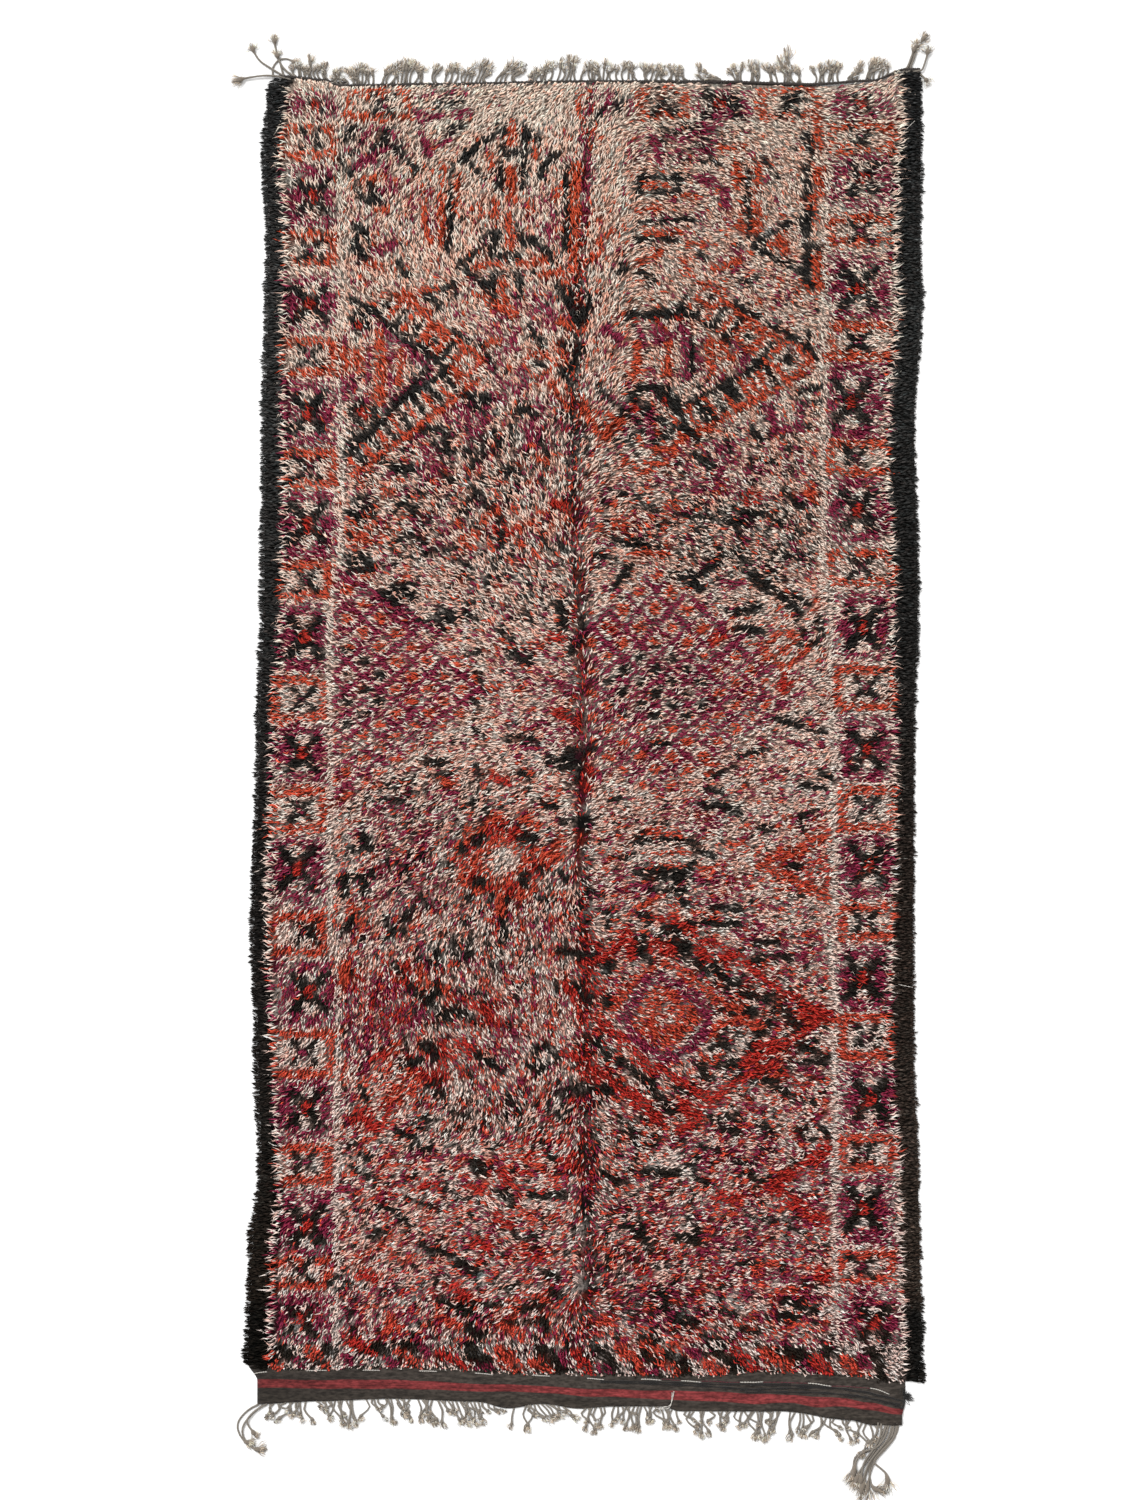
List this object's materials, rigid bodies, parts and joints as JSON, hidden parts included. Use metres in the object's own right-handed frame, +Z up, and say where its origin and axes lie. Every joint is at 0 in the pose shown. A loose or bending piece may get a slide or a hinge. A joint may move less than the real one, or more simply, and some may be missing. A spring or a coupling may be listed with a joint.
{
  "type": "long-pile wool rug",
  "caption": "Long-pile hand-knotted wool rug lying flat, with dark side strips, a lozenge and lattice field, a flat-woven end, a twined head edge and knotted warp fringes.",
  "frame": {"origin": "on the floor under the middle of the pile, on the rug's flat underside", "axes": "+X to the rug's right seen from above, +Y to its head end, +Z up out of the pile"},
  "size_m": [1.969, 4.1357, 0.027],
  "materials": {
    "shag_wool": "long soft wool pile in ivory, peach, orange-red, plum and green-black",
    "side_strip_wool": "long charcoal wool pile",
    "flat_weave": "fine dark weft-faced weave with one red stripe",
    "edge_cord_wool": "twined dark brown wool cord",
    "warp_yarn": "plied grey-beige wool and hair yarn, knotted"
  },
  "bodies": {
    "root": {"rug_cloth": "shag_wool", "head_edge_cord": "edge_cord_wool", "head_fringe": "warp_yarn", "foot_fringe": "warp_yarn", "head_left_tassel": "warp_yarn", "head_right_tassel": "warp_yarn", "foot_left_tassel": "warp_yarn", "foot_right_tassel": "warp_yarn"}
  },
  "joints": []
}
